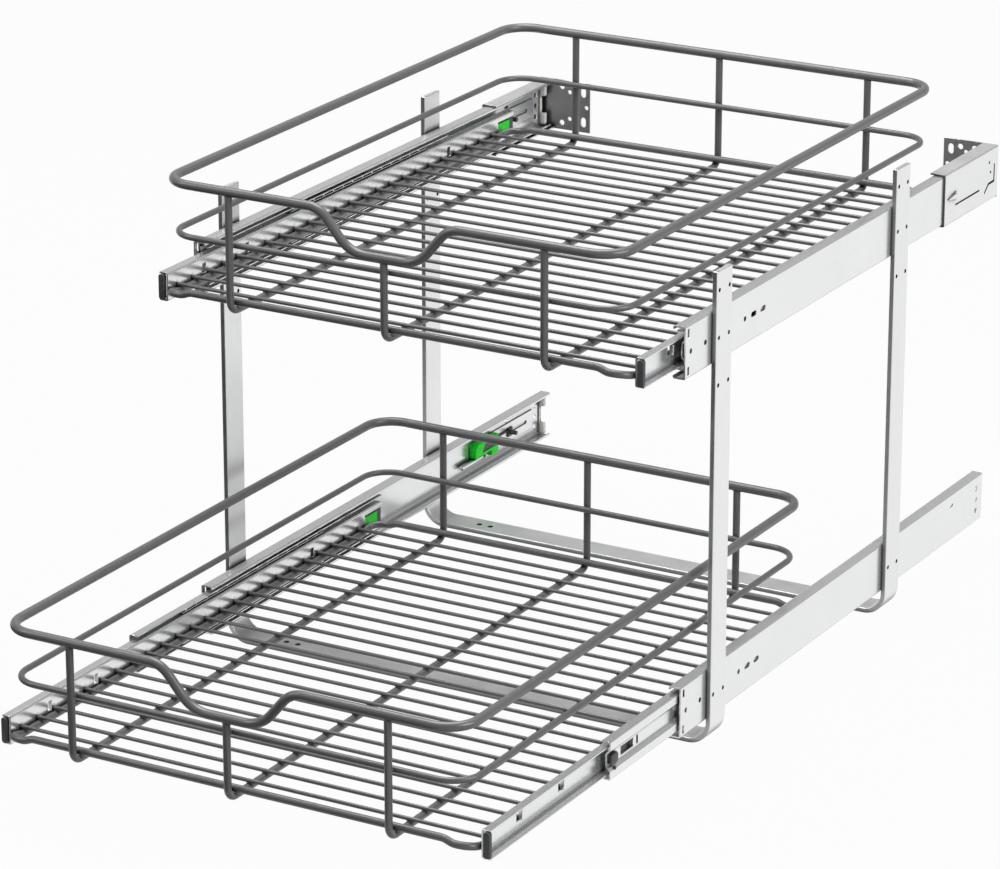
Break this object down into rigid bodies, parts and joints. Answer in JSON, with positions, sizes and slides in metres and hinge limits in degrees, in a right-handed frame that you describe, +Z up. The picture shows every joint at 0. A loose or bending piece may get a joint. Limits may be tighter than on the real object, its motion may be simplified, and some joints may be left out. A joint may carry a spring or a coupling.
{
  "type": "pull out cabinet basket",
  "caption": "Two-tier pull-out cabinet basket: wire baskets on soft-close ball-bearing slides, held by two U-shaped flat-bar frames with rear brackets.",
  "frame": {"origin": "centre of the four outer floor screws, on the underside of the two floor bars", "axes": "+X to the right seen from the front, +Y towards the back of the cabinet, +Z up; the baskets pull out along -Y"},
  "size_m": [0.448, 0.8687, 0.4308],
  "materials": {
    "frame_steel": "bright plated flat bar and sheet",
    "rail_steel": "bright plated rolled sheet",
    "cage_steel": "plain pressed sheet",
    "base_steel": "plain pressed sheet",
    "damper_steel": "turned tube",
    "rivet_steel": "set rivets",
    "ball_steel": "polished balls",
    "wire_coating": "dark grey satin coating on round wire",
    "housing_plastic": "bright green moulded plastic",
    "catch_plastic": "green moulded plastic",
    "black_plastic": "black moulded plastic",
    "stop_plastic": "pale moulded plastic",
    "bumper_rubber": "dark grey rubber caps"
  },
  "bodies": {
    "frame": {"front_u_frame": "frame_steel", "rear_u_frame": "frame_steel", "upper_left_outer_rail": "rail_steel", "upper_right_outer_rail": "rail_steel", "lower_left_outer_rail": "rail_steel", "lower_right_outer_rail": "rail_steel", "left_rear_bracket": "frame_steel", "right_rear_bracket": "frame_steel", "rail_rivets": "rivet_steel", "rear_stops": "stop_plastic", "upper_left_soft_close_housing": "housing_plastic", "upper_right_soft_close_housing": "housing_plastic", "lower_left_soft_close_housing": "housing_plastic", "lower_right_soft_close_housing": "housing_plastic", "soft_close_bases": "base_steel", "soft_close_dampers": "damper_steel"},
    "upper_basket": {"upper_top_rim": "wire_coating", "upper_mid_rail": "wire_coating", "upper_floor_frame": "wire_coating", "upper_u_wires": "wire_coating", "upper_cross_wires": "wire_coating", "upper_left_inner_rail": "rail_steel", "upper_right_inner_rail": "rail_steel", "upper_bumpers": "bumper_rubber", "upper_catches": "catch_plastic", "upper_catch_holders": "black_plastic"},
    "upper_middle_rails": {"upper_left_middle_rail": "rail_steel", "upper_right_middle_rail": "rail_steel", "upper_latch_blocks": "black_plastic"},
    "upper_outer_cages": {"upper_left_outer_cage": "cage_steel", "upper_right_outer_cage": "cage_steel", "upper_outer_balls": "ball_steel"},
    "upper_inner_cages": {"upper_left_inner_cage": "cage_steel", "upper_right_inner_cage": "cage_steel", "upper_inner_balls": "ball_steel"},
    "upper_triggers": {"upper_left_trigger": "black_plastic", "upper_right_trigger": "black_plastic"},
    "lower_basket": {"lower_top_rim": "wire_coating", "lower_mid_rail": "wire_coating", "lower_floor_frame": "wire_coating", "lower_u_wires": "wire_coating", "lower_cross_wires": "wire_coating", "lower_left_inner_rail": "rail_steel", "lower_right_inner_rail": "rail_steel", "lower_bumpers": "bumper_rubber", "lower_catches": "catch_plastic", "lower_catch_holders": "black_plastic"},
    "lower_middle_rails": {"lower_left_middle_rail": "rail_steel", "lower_right_middle_rail": "rail_steel", "lower_latch_blocks": "black_plastic"},
    "lower_outer_cages": {"lower_left_outer_cage": "cage_steel", "lower_right_outer_cage": "cage_steel", "lower_outer_balls": "ball_steel"},
    "lower_inner_cages": {"lower_left_inner_cage": "cage_steel", "lower_right_inner_cage": "cage_steel", "lower_inner_balls": "ball_steel"},
    "lower_triggers": {"lower_left_trigger": "black_plastic", "lower_right_trigger": "black_plastic"}
  },
  "joints": [
    {"name": "upper_basket_slide", "type": "slide", "parent": "frame", "child": "upper_basket", "axis": [0, -1, 0], "range_m": [-0.056, 0.484]},
    {"name": "upper_middle_rails_slide", "type": "slide", "parent": "frame", "child": "upper_middle_rails", "axis": [0, -1, 0], "range_m": [-0.028, 0.242]},
    {"name": "upper_outer_cages_slide", "type": "slide", "parent": "frame", "child": "upper_outer_cages", "axis": [0, -1, 0], "range_m": [-0.014, 0.121]},
    {"name": "upper_inner_cages_slide", "type": "slide", "parent": "frame", "child": "upper_inner_cages", "axis": [0, -1, 0], "range_m": [-0.042, 0.363]},
    {"name": "upper_triggers_slide", "type": "slide", "parent": "frame", "child": "upper_triggers", "axis": [0, 1, 0], "range_m": [0, 0.03]},
    {"name": "lower_basket_slide", "type": "slide", "parent": "frame", "child": "lower_basket", "axis": [0, -1, 0], "range_m": [-0.284, 0.256]},
    {"name": "lower_middle_rails_slide", "type": "slide", "parent": "frame", "child": "lower_middle_rails", "axis": [0, -1, 0], "range_m": [-0.142, 0.128]},
    {"name": "lower_outer_cages_slide", "type": "slide", "parent": "frame", "child": "lower_outer_cages", "axis": [0, -1, 0], "range_m": [-0.071, 0.064]},
    {"name": "lower_inner_cages_slide", "type": "slide", "parent": "frame", "child": "lower_inner_cages", "axis": [0, -1, 0], "range_m": [-0.213, 0.192]},
    {"name": "lower_triggers_slide", "type": "slide", "parent": "frame", "child": "lower_triggers", "axis": [0, 1, 0], "range_m": [0, 0.03]}
  ],
  "couplings": [
    {"joint": "upper_middle_rails_slide", "follows": "upper_basket_slide", "ratio": 0.5},
    {"joint": "upper_outer_cages_slide", "follows": "upper_basket_slide", "ratio": 0.25},
    {"joint": "upper_inner_cages_slide", "follows": "upper_basket_slide", "ratio": 0.75},
    {"joint": "lower_middle_rails_slide", "follows": "lower_basket_slide", "ratio": 0.5},
    {"joint": "lower_outer_cages_slide", "follows": "lower_basket_slide", "ratio": 0.25},
    {"joint": "lower_inner_cages_slide", "follows": "lower_basket_slide", "ratio": 0.75}
  ]
}
